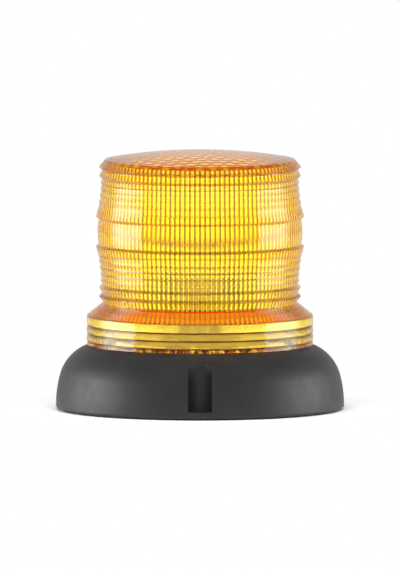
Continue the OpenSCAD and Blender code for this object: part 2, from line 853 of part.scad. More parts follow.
// A square tube round the middle leg, between two distances from it
module leg_sleeve(z, h, inner, outer) {
    translate([core_x, 0, z]) difference() {
        translate([-core_leg / 2 - outer, -core_depth / 2 - outer, 0])
            cube([core_leg + 2 * outer, core_depth + 2 * outer, h]);
        translate([-core_leg / 2 - inner, -core_depth / 2 - inner, -cut])
            cube([core_leg + 2 * inner, core_depth + 2 * inner, h + 2 * cut]);
    }
}

module transformer_bobbin() {
    color([0.75, 0.72, 0.6]) {
        leg_sleeve(coil_base_z, coil_h, coil_gap, coil_gap + bobbin_t);
        for (z = [coil_base_z, coil_base_z + coil_h - bobbin_t])
            leg_sleeve(z, bobbin_t, coil_gap, coil_out);
        for (s = [-1, 1]) {
            translate([core_x - core_w / 2,
                s * (core_depth / 2 + 1 + bobbin_foot_w / 2) - bobbin_foot_w / 2, board_top_z])
                    cube([core_w, bobbin_foot_w, core_lift + core_arm]);
            translate([core_x - core_leg / 2 - coil_gap,
                s * (core_depth / 2 + bobbin_rib_t) - bobbin_rib_t / 2, board_top_z + core_lift])
                    cube([core_leg, bobbin_rib_t, core_arm + coil_gap + bobbin_t]);
        }
        transformer_leads(0);
    }
}

module transformer_winding() {
    color([0.85, 0.62, 0.12])
        leg_sleeve(coil_base_z + bobbin_t, coil_h - 2 * bobbin_t, coil_gap + bobbin_t, coil_out);
}

module trigger_coil() {
    color([0.1, 0.1, 0.1]) {
        translate([coil_at.x, coil_at.y, board_top_z]) {
            cylinder(h = coil_foot_t, r = coil_flange_r);
            cylinder(h = coil_body_h, r = coil_body_r);
            translate([0, 0, coil_body_h]) cylinder(h = coil_lid_t, r = coil_flange_r);
        }
        trigger_coil_leads(0);
    }
}

module trigger_capacitor() {
    color([0.65, 0.1, 0.08]) {
        translate([-film_size.x / 2, film_y - film_size.y / 2, board_top_z]) cube(film_size);
        trigger_capacitor_leads(0);
    }
}

module power_transistor() {
    color([0.12, 0.12, 0.13]) {
        translate([transistor_x - transistor_size.x / 2, transistor_y, board_top_z + tab_lift])
            cube(transistor_size);
        difference() {
            translate([transistor_x - transistor_size.x / 2, sink_y, board_top_z + tab_lift])
                cube([transistor_size.x, tab_t, tab_h]);
            translate([transistor_x, sink_y - cut, tab_hole_z]) rotate([-90, 0, 0])
                cylinder(h = tab_t + 2 * cut, r = screw_r + fit);
        }
        transistor_leads(0);
    }
}

module heatsink() {
    gap_w = (sink_w - (sink_gaps + 1) * sink_t) / sink_gaps;
    color([0.6, 0.62, 0.64]) difference() {
        translate([transistor_x - sink_w / 2, sink_y - sink_depth, board_top_z]) difference() {
            cube([sink_w, sink_depth, sink_h]);
            for (i = [0:sink_gaps - 1]) translate([sink_t + i * (sink_t + gap_w), -cut, -cut])
                cube([gap_w, sink_depth - sink_t + cut, sink_h + 2 * cut]);
        }
        translate([transistor_x, sink_y - sink_depth - cut, tab_hole_z]) rotate([-90, 0, 0])
            cylinder(h = sink_depth + 2 * cut, r = screw_r + fit);
    }
}

module transistor_screw() {
    color([0.72, 0.72, 0.74]) translate([transistor_x, sink_y + tab_t, tab_hole_z])
        rotate([90, 0, 0]) screw(tab_screw_l);
}

module fuse() {
    color([0.85, 0.88, 0.88, 0.6]) translate([-fuse_l / 2, fuse_y, fuse_z]) rotate([0, 90, 0]) {
        cylinder(h = fuse_l, r = fuse_r - fuse_glass_in);
        for (x = [0, fuse_l - fuse_cap_l]) translate([0, 0, x]) cylinder(h = fuse_cap_l, r = fuse_r);
    }
}

module fuse_clips() {
    color([0.8, 0.68, 0.3]) {
        for (x = [clip_inset - fuse_l / 2, fuse_l / 2 - clip_inset - clip_w])
            translate([x, fuse_y, fuse_z]) rotate([0, 90, 0]) difference() {
                union() {
                    cylinder(h = clip_w, r = fuse_r + fit + clip_t);
                    translate([0, -clip_foot_w / 2, 0])
                        cube([fuse_z - board_top_z, clip_foot_w, clip_w]);
                }
                translate([0, 0, -cut]) cylinder(h = clip_w + 2 * cut, r = fuse_r + fit);
                translate([-4 * fuse_r, -clip_foot_w / 2, -cut])
                    cube([4 * fuse_r, clip_foot_w, clip_w + 2 * cut]);
            }
        fuse_clip_leads(0);
    }
}

// Places the children at both poles of the terminal block, at its lower face
module on_poles() {
    for (s = [-1, 1])
        translate([terminal_x + s * terminal_pitch / 2, terminal_y, board_z - terminal_size.z])
            children();
}

module terminal_block() {
    color([0.1, 0.42, 0.2]) difference() {
        translate([terminal_x, terminal_y, board_z - terminal_size.z / 2])
            cube(terminal_size, center = true);
        on_poles() {
            translate([0, 0, -cut]) cylinder(h = terminal_well_h + cut, r = terminal_well_r);
            translate([0, -terminal_size.y / 2 - cut, terminal_wire_z]) rotate([-90, 0, 0])
                cylinder(h = terminal_wire_l, r = terminal_wire_r);
        }
    }
}

module terminal_screws() {
    color([0.75, 0.75, 0.76]) on_poles() translate([0, 0, terminal_screw_in]) difference() {
        cylinder(h = terminal_screw_h, r = terminal_well_r - fit);
        translate([-2 * terminal_well_r, -terminal_slot_w / 2, -cut])
            cube([4 * terminal_well_r, terminal_slot_w, cut + terminal_slot_h]);
    }
}

// A small part that lies along Y on two bent leads
module axial(at, lift, r, l, span) {
    translate([at.x, at.y, board_top_z + lift]) rotate([90, 0, 0]) {
        translate([0, 0, -l / 2]) cylinder(h = l, r = r);
        translate([0, 0, -(span + wire_d) / 2]) cylinder(h = span + wire_d, d = wire_d);
    }
}

module diodes() {
    color([0.15, 0.15, 0.16]) {
        for (i = [0:diode_count - 1])
            axial(diode_at + [i * diode_pitch, 0], diode_lift, diode_r, diode_l, diode_span);
        diode_leads(0);
    }
}

module resistors() {
    color([0.76, 0.66, 0.48]) {
        for (i = [0:resistor_count - 1])
            axial(resistor_at + [i * resistor_pitch, 0], resistor_lift, resistor_r, resistor_l,
                resistor_span);
        resistor_leads(0);
    }
}

module timer_chip() {
    color([0.1, 0.1, 0.11]) {
        translate([chip_at.x - chip_size.x / 2, chip_at.y - chip_size.y / 2, board_top_z + chip_lift])
            difference() {
                cube(chip_size);
                translate([0, chip_size.y / 2, chip_size.z - chip_lead_t])
                    cylinder(h = chip_size.z, r = chip_notch_r);
            }
        for (i = [0:chip_pins - 1])
            translate([chip_pin_x(i) - wire_d / 2, chip_at.y - (chip_rows + wire_d) / 2, chip_lead_z])
                cube([wire_d, chip_rows + wire_d, chip_lead_t]);
        chip_leads(0);
    }
}

module thyristor() {
    color([0.1, 0.1, 0.11]) {
        translate([thyristor_at.x, thyristor_at.y, board_top_z + thyristor_lift]) difference() {
            cylinder(h = thyristor_h, r = thyristor_r);
            translate([-thyristor_r - cut, -thyristor_r - cut, -cut])
                cube([2 * (thyristor_r + cut), thyristor_r + cut - thyristor_flat, thyristor_h + 2 * cut]);
        }
        thyristor_leads(0);
    }
}

lens();
base_housing();
lens_gasket();
mounting_gasket();
bottom_cover();
cover_seal();
cover_screws();
lens_screws();
cable_grommet();
reflector_plate();
lamp_stand();
stand_screws();
tube_socket();
flash_tube();
tube_electrodes();
trigger_wire();
tube_leads();
circuit_board();
board_screws();
storage_capacitor();
input_capacitor();
transformer_core();
transformer_bobbin();
transformer_winding();
trigger_coil();
trigger_capacitor();
power_transistor();
heatsink();
transistor_screw();
fuse();
fuse_clips();
terminal_block();
terminal_screws();
diodes();
resistors();
timer_chip();
thyristor();
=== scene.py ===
"""Studio scene of the amber xenon beacon: materials, lights, camera and the finely shaped lens."""
import json
import math

import bpy
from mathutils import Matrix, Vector
from mathutils.geometry import delaunay_2d_cdt


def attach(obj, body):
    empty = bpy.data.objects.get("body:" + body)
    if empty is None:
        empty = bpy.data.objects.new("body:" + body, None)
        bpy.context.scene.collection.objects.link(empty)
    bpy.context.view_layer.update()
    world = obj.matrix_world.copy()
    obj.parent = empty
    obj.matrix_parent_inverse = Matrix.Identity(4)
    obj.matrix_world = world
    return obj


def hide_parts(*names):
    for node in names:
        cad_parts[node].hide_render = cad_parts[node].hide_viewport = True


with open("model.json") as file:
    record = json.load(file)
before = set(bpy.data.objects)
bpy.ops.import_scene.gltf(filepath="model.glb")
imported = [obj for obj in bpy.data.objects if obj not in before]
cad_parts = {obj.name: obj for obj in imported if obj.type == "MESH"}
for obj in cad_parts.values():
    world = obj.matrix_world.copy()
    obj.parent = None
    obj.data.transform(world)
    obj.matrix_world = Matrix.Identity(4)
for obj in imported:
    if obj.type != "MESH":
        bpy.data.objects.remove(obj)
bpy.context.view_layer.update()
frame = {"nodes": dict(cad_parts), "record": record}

MM = 0.001

# Lens, in millimetres: foot, collar and neck
DECK_Z = 36.0
FOOT_Z = DECK_Z + 0.05
FOOT_IN_R = 52.5
FOOT_TOP = 38.4
COLLAR_R = 62.9
COLLAR_IN_R = 59.8
COLLAR_TOP = 51.7
LEDGE_Z = 51.4
GROOVE_PITCH = 4.4
SHOULDER_FOOT = (COLLAR_R - 0.5, COLLAR_TOP + 1.1)
NECK = (53.7, 59.7)

# Ring prisms above and below the belt: a tip's height and rise, then its valley's, from FOCAL_Z and LENS_R
LENS_R = 55.0
WALL = 3.1
INNER_R = LENS_R - WALL
FOCAL_Z = 99.0
RINGS = [
    (8.4, 2.8, 15.2, 0.8),
    (16.2, 1.1, 18.7, 0.25),
    (20.05, 0.65, 22.6, -0.2),
    (23.8, 0.2, 26.0, -0.4),
    (27.2, 0.1, 29.3, -0.55),
    (31.0, 1.0, 34.1, -0.65),
]
LAST_TIP = 1.1
FOCAL_SPAN = 36.1
RIM_Z = FOCAL_Z + FOCAL_SPAN

# Belt, an arc of BELT_R that stands BELT_RISE over LENS_R at BELT_HALF above and below FOCAL_Z
BELT_R = 37.0
BELT_RISE = 1.3
BELT_HALF = 6.8
BELT_REACH = 6.85
BELT_STEPS = 8

# Crown, with round cushions on its inner face
CROWN_EDGE_R = 52.7
CROWN_EDGE_Z = 139.0
CROWN_RISE = 4.6
CROWN_R = (CROWN_EDGE_R**2 + CROWN_RISE**2) / (2 * CROWN_RISE)
CROWN_CENTRE = CROWN_EDGE_Z + CROWN_RISE - CROWN_R
CROWN_ROWS = (51.4, 50.8, 46, 40, 32, 24, 16)
CROWN_LAST_ROW = 8
CUSHION_PITCH = 7.2
CUSHION_TURN = 8
CUSHION_H = 1.0
CUSHION_STEP = 0.85
CUSHION_MARGIN = 0.35
CUSHION_FADE = 0.6

# Flutes of the inner wall, and the screw posts
FLUTES = 120
FLUTE_H = 0.7
FLUTE_LEVELS = (70, 90, 108, 126)
POST_R = 3.5
POST_AT = 56.9
POST_TOP = 43.5
POST_ANGLES = (90, 210, 330)
POST_HOLE_R = 1.55
POST_HOLE_TOP = 42.5

# Mesh: bevels, sharp edges (in degrees) and points of each row
BEVEL = 0.16
BEVEL_SHARE = 0.35
BEVEL_TURN = 20
SHARP_TURN = 24
OUTER_POINTS = 480
FLUTE_POINTS = 8
POST_POINTS = 48
HOLE_POINTS = 32
MERGE = 1e-7
IN_HOLE = 0.999

# Painted shade at the lens's corners, standing in for the light and shade that refraction gives: dark
# lines at tips, cusps, grooves, net and rim, orange at the shoulder and dark red at the neck. 0 is clear,
# and the colour and clearness tables below say what each number means
PAINTED_SHADE_REACH = 0.35
TIP_PAINTED_SHADE = 0.15
GROOVE_PAINTED_SHADOW = 1.0
GROOVE_EDGE_PAINTED_SHADE = 0.1
SHOULDER_PAINTED_SHADE = 0.6
NECK_PAINTED_SHADE = 0.8
RIM_PAINTED_SHADE = 0.35
CHAMFER_PAINTED_SHADE = 0.15
CROWN_PAINTED_SHADE = 0.2
NET_PAINTED_SHADE = 0.3
NET_FADE = 3
CUSP_PAINTED_SHADE = 0.4
CUSP_FADE = 0.5
LEDGE_PAINTED_SHADE = 0.3
PAINTED_SHADE_COLOURS = [(0.0, (1.0, 1.0, 1.0)), (0.2, (0.56, 0.36, 0.36)), (0.4, (0.36, 0.06, 0.03)),
                (0.6, (1.0, 0.30, 0.01)), (0.8, (0.8, 0.03, 0.002)), (1.0, (0.012, 0.005, 0.002))]
PAINTED_SHADE_CLEARNESS = [(0.0, 1.0), (0.4, 1.0), (0.6, 0.68), (0.8, 0.5), (1.0, 1.0)]
# The painted orange shade of the shoulder and neck fades where it is seen at a slant
ORANGE_PAINTED_SHADES = [(0.45, 0.0), (0.6, 1.0), (0.85, 1.0), (0.95, 0.0)]
SLANT_FADE = [(0.42, 0.0), (0.6, 1.0)]
# One groove from below: depth, height above the groove's top and painted shade; the groove's floor is
# painted dark as its shadow
GROOVE = [(0, -2.2, 0), (0.4, -1.0, GROOVE_EDGE_PAINTED_SHADE), (0.45, -0.85, GROOVE_PAINTED_SHADOW),
          (0.55, -0.55, GROOVE_PAINTED_SHADOW), (0.55, 0, GROOVE_PAINTED_SHADOW), (0, 0, 0)]
# Painted shade at shares of the shoulder's length: orange on the shoulder, dark red at the neck
SHOULDER = [(0.72, SHOULDER_PAINTED_SHADE), (0.75, NECK_PAINTED_SHADE), (0.84, NECK_PAINTED_SHADE), (0.87, 0)]

# Amber plastic: the dye in its volume, and roughness ranges of its clear and satin faces
DYE = (0.99, 0.925, 0.15, 1)
DYE_DENSITY = 430.0
CLEAR_ROUGH = (0.015, 0.04)
SATIN_ROUGH = (0.085, 0.115)
FLUTE_SATIN = 1.0
COLLAR_SATIN = 2.0

# Moulded pieces: darker and lighter colour, roughness range, fineness of the grain and its depth in metres
MOULDED = {
    "black_plastic": ((0.0195, 0.0195, 0.0205), (0.0235, 0.0235, 0.0245), (0.42, 0.5), 2600, 0.00003),
    "cover_plastic": ((0.02, 0.02, 0.021), (0.03, 0.03, 0.031), (0.5, 0.62), 1900, 0.00003),
    "seal_rubber": ((0.012, 0.012, 0.012), (0.02, 0.02, 0.02), (0.7, 0.85), 1500, 0.00005),
    "grommet_rubber": ((0.01, 0.01, 0.01), (0.018, 0.018, 0.018), (0.6, 0.8), 1500, 0.00005),
    "white_plastic": ((0.86, 0.86, 0.84), (0.9, 0.9, 0.88), (0.25, 0.35), 1800, 0.00001),
    "stand_plastic": ((0.86, 0.86, 0.84), (0.9, 0.9, 0.88), (0.5, 0.6), 1800, 0.00001),
    "socket_ceramic": ((0.83, 0.82, 0.77), (0.88, 0.87, 0.83), (0.6, 0.75), 2500, 0.00004),
    "wire_sleeve": ((0.82, 0.81, 0.78), (0.87, 0.86, 0.83), (0.3, 0.4), 1200, 0.00003),
    "capacitor_sleeve": ((0.012, 0.025, 0.10), (0.018, 0.035, 0.13), (0.25, 0.35), 900, 0.00003),
    "black_component": ((0.014, 0.014, 0.015), (0.024, 0.024, 0.025), (0.5, 0.65), 2200, 0.00003),
    "ferrite": ((0.03, 0.03, 0.032), (0.05, 0.05, 0.052), (0.55, 0.75), 1500, 0.00006),
    "bobbin_plastic": ((0.45, 0.40, 0.27), (0.52, 0.47, 0.33), (0.4, 0.5), 1800, 0.00003),
    "winding_tape": ((0.55, 0.30, 0.015), (0.66, 0.38, 0.03), (0.2, 0.35), 700, 0.00005),
    "film_capacitor": ((0.30, 0.02, 0.015), (0.40, 0.03, 0.02), (0.2, 0.35), 900, 0.00003),
    "terminal_green": ((0.02, 0.18, 0.05), (0.03, 0.23, 0.07), (0.35, 0.5), 1800, 0.00003),
    "resistor_ceramic": ((0.42, 0.31, 0.15), (0.52, 0.40, 0.21), (0.4, 0.55), 1500, 0.00003),
}
CLOUD_SCALE = 60.0
GLOSS_CLOUD_SCALE = 186.0
SPECULAR = {"black_plastic": 0.36}
PLAIN_SPECULAR = 0.5

# Metals: darker and lighter colour, roughness range and how fine the streaks are along each axis
METALS = {
    "screw_steel": ((0.50, 0.50, 0.51), (0.66, 0.66, 0.66), (0.2, 0.4), (1, 1, 14)),
    "electrode_metal": ((0.36, 0.36, 0.37), (0.48, 0.48, 0.49), (0.35, 0.5), (1, 1, 14)),
    "nickel_wire": ((0.5, 0.47, 0.40), (0.62, 0.6, 0.53), (0.25, 0.4), (1, 1, 14)),
    "sink_aluminium": ((0.55, 0.56, 0.58), (0.7, 0.7, 0.72), (0.3, 0.45), (14, 14, 1)),
    "clip_brass": ((0.62, 0.42, 0.14), (0.75, 0.55, 0.22), (0.2, 0.35), (1, 1, 14)),
}
STREAK_SCALE = 900.0
STREAK_GLOSS_SCALE = 360.0
STREAK_DEPTH = 0.000006

# Noise is used between these two values
NOISE_RANGE = (0.35, 0.65)

# Studio, in metres. White is a strength of 1
GLOSS_LEVEL = 0.65
DIFFUSE_LEVEL = 0.55
TOP_FADE = [(0.25, 1.0), (0.65, 0.3)]
FRONT_FADE = (-0.6, -0.1)
FRONT_LEVEL = 0.3
FLOOR_R = 1.2
FLOOR_POINTS = 96
FLOOR_FADE = (0.08, 0.12)
CAMERA_TILT = 4.8
CAMERA_AIM = Vector((0, 0, 0.069))
CAMERA_AWAY = 1.5
CAMERA_SPAN = 0.3165
BOUNCES = 32
# Lamps: place, aim, size, strength, fades as axis, start and end, and the rays that pass them by
ENDS_FADE = [("Y", 0.0, 0.4), ("Y", 1.0, 0.6)]
LAMPS = {
    "left_softbox": ((-0.62, 0.07, 0.1), (0, 0.07, 0.1), (0.64, 0.6), 6.4,
                     [("X", 0.0, 0.5), *ENDS_FADE], "visible_transmission"),
    "right_softbox": ((0.62, 0.07, 0.1), (0, 0.07, 0.1), (0.64, 0.6), 4.8,
                      [("X", 1.0, 0.5), *ENDS_FADE], "visible_transmission"),
    "front_softbox": ((0, -0.55, 0.8), (0, 0, 0.03), (0.9, 0.5), 6.8, [], "visible_glossy"),
    "back_softbox": ((0, 0.7, 0.1), (0, 0, 0.1), (1.0, 0.8), 1.4, [], "visible_glossy"),
}


# Mesh helpers
class Shell:
    """The points and faces of one mesh, in millimetres, with a painted shade and a satin level for each
    point.
    """

    def __init__(self):
        self.points = []
        self.faces = []
        self.painted_shade = []
        self.inside = []

    def row(self, points, painted_shade=0.0, inside=0.0):
        start = len(self.points)
        self.points += points
        self.painted_shade += painted_shade if isinstance(painted_shade, list) else [painted_shade] * len(points)
        self.inside += [inside] * len(points)
        return list(range(start, start + len(points)))

    def circle(self, r, z, n, at=(0.0, 0.0), painted_shade=0.0, inside=0.0):
        turns = [2 * math.pi * i / n for i in range(n)]
        points = [(at[0] + r * math.cos(a), at[1] + r * math.sin(a), z) for a in turns]
        return self.row(points, painted_shade, inside)

    def bridge(self, a, b):
        """Faces between two closed rows of as many points."""
        n = len(a)
        self.faces += [(a[i], a[(i + 1) % n], b[(i + 1) % n], b[i]) for i in range(n)]

    def stack(self, rows):
        """Faces between each row and the next."""
        for a, b in zip(rows, rows[1:]):
            self.bridge(a, b)

    def thin(self, fine, coarse):
        """Faces between a closed row and one with half its points."""
        n = len(coarse)
        for i in range(n):
            c0, c1 = coarse[i], coarse[(i + 1) % n]
            f0, f1, f2 = fine[2 * i], fine[2 * i + 1], fine[(2 * i + 2) % (2 * n)]
            self.faces += [(f0, f1, c0), (f1, c1, c0), (f1, f2, c1)]

    def fan(self, row, centre, painted_shade=0.0, flip=False):
        """Faces between a closed row and one point."""
        top = self.row([centre], painted_shade)[0]
        for a, b in zip(row, [*row[1:], row[0]]):
            self.faces.append((top, b, a) if flip else (a, b, top))

    def flat_point(self, i):
        return Vector(self.points[i][:2])

    def round_of(self, loop):
        """Centre and radius of a round row, seen from above."""
        centre = sum((self.flat_point(i) for i in loop), Vector((0, 0))) / len(loop)
        return centre, (self.flat_point(loop[0]) - centre).length

    def plate(self, outer, holes=(), free=(), flip=False):
        """Triangles inside a closed row and outside its round holes. A free point is (x, y, z, painted
        shade).

        Triangles where two rows cross are left out, as at a post that runs into the collar's wall."""
        flat, ids, edges = [], [], []
        for loop in [outer, *holes]:
            start, n = len(flat), len(loop)
            flat += [self.flat_point(i) for i in loop]
            ids += loop
            edges += [(start + i, start + (i + 1) % n) for i in range(n)]
        for x, y, z, painted_shade in free:
            flat.append(Vector((x, y)))
            ids += self.row([(x, y, z)], painted_shade)
        coords, _, faces, origin, _, _ = delaunay_2d_cdt(flat, edges, [], 1, MERGE)
        rounds = [self.round_of(loop) for loop in holes]
        for face in faces:
            a, b, c = (coords[i] for i in face)
            mid = (a + b + c) / 3
            if any((mid - centre).length < r * IN_HOLE for centre, r in rounds):
                continue
            if not all(origin[i] for i in face):
                continue
            tri = [ids[origin[i][0]] for i in face]
            up = (b - a).cross(c - a) > 0
            self.faces.append(tuple(tri if up != flip else tri[::-1]))

    def make(self, name):
        mesh = bpy.data.meshes.new(name)
        mesh.from_pydata([(x * MM, y * MM, z * MM) for x, y, z in self.points], [], self.faces)
        mesh.validate()
        mesh.shade_smooth()
        mark_sharp(mesh)
        for label in ("inside", "painted_shade"):
            values = mesh.attributes.new(label, "FLOAT", "POINT")
            values.data.foreach_set("value", getattr(self, label))
        obj = bpy.data.objects.new(name, mesh)
        bpy.context.scene.collection.objects.link(obj)
        return obj


def mark_sharp(mesh):
    """Marks each edge whose faces turn by more than SHARP_TURN."""
    sides = {}
    for poly in mesh.polygons:
        for key in poly.edge_keys:
            sides.setdefault(key, []).append(poly.normal.copy())
    limit = math.cos(math.radians(SHARP_TURN))
    for edge in mesh.edges:
        near = sides.get(tuple(sorted(edge.vertices)), [])
        if len(near) == 2 and near[0].dot(near[1]) < limit:
            edge.use_edge_sharp = True


# Node helpers
def new_material(name):
    mat = bpy.data.materials.new(name)
    mat.use_nodes = True
    tree = mat.node_tree
    tree.nodes.clear()
    out = tree.nodes.new("ShaderNodeOutputMaterial")
    shader = tree.nodes.new("ShaderNodeBsdfPrincipled")
    tree.links.new(shader.outputs[0], out.inputs["Surface"])
    return mat, tree, shader, out


def coordinates(tree, scale=(1, 1, 1)):
    coords = tree.nodes.new("ShaderNodeTexCoord")
    mapping = tree.nodes.new("ShaderNodeMapping")
    mapping.inputs["Scale"].default_value = scale
    tree.links.new(coords.outputs["Object"], mapping.inputs["Vector"])
    return mapping.outputs["Vector"]


def axes(tree, vector):
    node = tree.nodes.new("ShaderNodeSeparateXYZ")
    tree.links.new(vector, node.inputs["Vector"])
    return node.outputs


def attribute(tree, name):
    node = tree.nodes.new("ShaderNodeAttribute")
    node.attribute_name = name
    return node.outputs["Fac"]


def noise(tree, where, scale, detail=3.0, rough=0.5):
    node = tree.nodes.new("ShaderNodeTexNoise")
    node.inputs["Scale"].default_value = scale
    node.inputs["Detail"].default_value = detail
    node.inputs["Roughness"].default_value = rough
    tree.links.new(where, node.inputs["Vector"])
    return node.outputs["Fac"]


def stops(tree, value, rows):
    """A colour, or a number, at each of several places along a value."""
    node = tree.nodes.new("ShaderNodeValToRGB")
    ends = node.color_ramp.elements
    for place, _ in rows[1:-1]:
        ends.new(place)
    for end, (place, colour) in zip(ends, rows):
        end.position = place
        end.color = (*colour, 1) if isinstance(colour, tuple) else (colour, colour, colour, 1)
    tree.links.new(value, node.inputs["Fac"])
    return node.outputs["Color"]


def spread(tree, field, low, high):
    """A noise as a value between two colours or two numbers."""
    return stops(tree, field, list(zip(NOISE_RANGE, (low, high))))


def vary(tree, socket, field, low, high):
    tree.links.new(spread(tree, field, low, high), socket)


def maths(tree, operation, a, b, clamp=False):
    node = tree.nodes.new("ShaderNodeMath")
    node.operation = operation
    node.use_clamp = clamp
    for value, socket in zip((a, b), node.inputs):
        if isinstance(value, float):
            socket.default_value = value
        else:
            tree.links.new(value, socket)
    return node.outputs[0]


def rise(tree, value, low, high, start=0.0, smooth=False):
    """Rises from start to 1 between two values."""
    node = tree.nodes.new("ShaderNodeMapRange")
    node.interpolation_type = "SMOOTHSTEP" if smooth else "LINEAR"
    node.inputs["From Min"].default_value = low
    node.inputs["From Max"].default_value = high
    node.inputs["To Min"].default_value = start
    tree.links.new(value, node.inputs["Value"])
    return node.outputs["Result"]


def bump(tree, height, shader, distance):
    node = tree.nodes.new("ShaderNodeBump")
    node.inputs["Distance"].default_value = distance
    tree.links.new(height, node.inputs["Height"])
    tree.links.new(node.outputs["Normal"], shader.inputs["Normal"])


def absorb(tree, out, colour, density):
    dye = tree.nodes.new("ShaderNodeVolumeAbsorption")
    dye.inputs["Color"].default_value = colour
    dye.inputs["Density"].default_value = density
    tree.links.new(dye.outputs[0], out.inputs["Volume"])


# Materials
def moulded(name, dark, light, rough, grain, depth):
    """A moulded plastic, rubber or ceramic: a fine grain, and slow drifts of colour and gloss."""
    mat, tree, shader, _ = new_material(name)
    where = coordinates(tree)
    vary(tree, shader.inputs["Base Color"], noise(tree, where, CLOUD_SCALE, 5, 0.6), dark, light)
    vary(tree, shader.inputs["Roughness"], noise(tree, where, GLOSS_CLOUD_SCALE, 4, 0.65), *rough)
    shader.inputs["Specular IOR Level"].default_value = SPECULAR.get(name, PLAIN_SPECULAR)
    bump(tree, noise(tree, where, grain, 2), shader, depth)
    return mat


def metal(name, dark, light, rough, streak):
    """A metal with fine streaks."""
    mat, tree, shader, _ = new_material(name)
    where = coordinates(tree, streak)
    field = noise(tree, where, STREAK_SCALE, 4, 0.6)
    vary(tree, shader.inputs["Base Color"], field, dark, light)
    vary(tree, shader.inputs["Roughness"], noise(tree, where, STREAK_GLOSS_SCALE, 3, 0.6), *rough)
    shader.inputs["Metallic"].default_value = 1.0
    bump(tree, field, shader, STREAK_DEPTH)
    return mat


def amber_material():
    """Clear dyed plastic, satin inside, with painted shade at its corners: dark lines, and orange and dark
    red bands at the shoulder and neck.
    """
    mat, tree, shader, out = new_material("amber_lens")
    shader.inputs["IOR"].default_value = 1.5
    painted_shade = attribute(tree, "painted_shade")
    slant = tree.nodes.new("ShaderNodeLayerWeight").outputs["Facing"]
    fade = maths(tree, "MULTIPLY", stops(tree, painted_shade, ORANGE_PAINTED_SHADES), stops(tree, slant, SLANT_FADE))
    for rows, name in ((PAINTED_SHADE_CLEARNESS, "Transmission Weight"), (PAINTED_SHADE_COLOURS, "Base Color")):
        mix = tree.nodes.new("ShaderNodeMix")
        mix.data_type = "RGBA"
        mix.inputs["B"].default_value = (1, 1, 1, 1)
        tree.links.new(fade, mix.inputs["Factor"])
        tree.links.new(stops(tree, painted_shade, rows), mix.inputs["A"])
        tree.links.new(mix.outputs["Result"], shader.inputs[name])
    where = coordinates(tree)
    field = noise(tree, where, 180, 4, 0.6)
    satin = maths(tree, "MULTIPLY", spread(tree, field, *SATIN_ROUGH), attribute(tree, "inside"))
    rough = maths(tree, "ADD", satin, spread(tree, field, *CLEAR_ROUGH))
    tree.links.new(rough, shader.inputs["Roughness"])
    bump(tree, noise(tree, where, 260, 2), shader, 0.000012)
    absorb(tree, out, DYE, DYE_DENSITY)
    return mat


def glass_material():
    """Clear glass of the flash tube and the fuse."""
    mat, tree, shader, out = new_material("tube_glass")
    shader.inputs["Base Color"].default_value = (1, 1, 1, 1)
    shader.inputs["Transmission Weight"].default_value = 1.0
    shader.inputs["IOR"].default_value = 1.47
    vary(tree, shader.inputs["Roughness"], noise(tree, coordinates(tree), 300), 0.01, 0.03)
    absorb(tree, out, (0.9, 0.95, 0.97, 1), 20.0)
    return mat


def board_material():
    """Solder mask over copper tracks."""
    mat, tree, shader, _ = new_material("board_laminate")
    where = coordinates(tree)
    tracks = tree.nodes.new("ShaderNodeTexBrick")
    tracks.inputs["Scale"].default_value = 120.0
    tracks.inputs["Mortar Size"].default_value = 0.05
    tracks.inputs["Color1"].default_value = (0.018, 0.10, 0.045, 1)
    tracks.inputs["Color2"].default_value = (0.022, 0.13, 0.055, 1)
    tracks.inputs["Mortar"].default_value = (0.012, 0.06, 0.03, 1)
    tree.links.new(where, tracks.inputs["Vector"])
    tree.links.new(tracks.outputs["Color"], shader.inputs["Base Color"])
    vary(tree, shader.inputs["Roughness"], noise(tree, where, 500), 0.25, 0.4)
    bump(tree, tracks.outputs["Fac"], shader, 0.00003)
    return mat


MATERIALS = {
    "amber_lens": amber_material(),
    "tube_glass": glass_material(),
    "board_laminate": board_material(),
    **{name: moulded(name, *row) for name, row in MOULDED.items()},
    **{name: metal(name, *row) for name, row in METALS.items()},
}


# Lens
def crown_z(r, t=0.0):
    """Height of the crown's outer face, or of a face a thickness below it."""
    return CROWN_CENTRE + math.sqrt((CROWN_R - t) ** 2 - r * r)


def lens_outline():
    """The outside of the lens from its lower edge to the crown's edge, with the painted shade of each
    corner.
    """
    line = [(COLLAR_R, FOOT_Z, 0)]
    for i in (3, 2, 1):
        top = COLLAR_TOP - GROOVE_PITCH * i
        line += [(COLLAR_R - depth, top + z, painted_shade) for depth, z, painted_shade in GROOVE]
    line += [(COLLAR_R, COLLAR_TOP, 0), (*SHOULDER_FOOT, SHOULDER_PAINTED_SHADE)]
    for share, painted_shade in SHOULDER:
        line.append((*(a + (b - a) * share for a, b in zip(SHOULDER_FOOT, NECK)), painted_shade))
    line += [(*NECK, 0), (LENS_R + LAST_TIP, FOCAL_Z - FOCAL_SPAN, TIP_PAINTED_SHADE)]
    upper = []
    for tip_z, tip, valley_z, valley in RINGS:
        upper += [(LENS_R + tip, tip_z, TIP_PAINTED_SHADE), (LENS_R + valley, valley_z, 0)]
    line += [(r, FOCAL_Z - z, painted_shade) for r, z, painted_shade in reversed(upper)]
    centre = LENS_R + BELT_RISE - math.sqrt(BELT_R**2 - BELT_HALF**2)
    for i in range(-BELT_STEPS, BELT_STEPS + 1):
        z = BELT_REACH * i / BELT_STEPS
        line.append((centre + math.sqrt(BELT_R**2 - z * z), FOCAL_Z + z, 0))
    line += [(r, FOCAL_Z + z, painted_shade) for r, z, painted_shade in upper]
    line += [(LENS_R + LAST_TIP, RIM_Z, RIM_PAINTED_SHADE), (CROWN_EDGE_R, CROWN_EDGE_Z, CROWN_PAINTED_SHADE)]
    return line


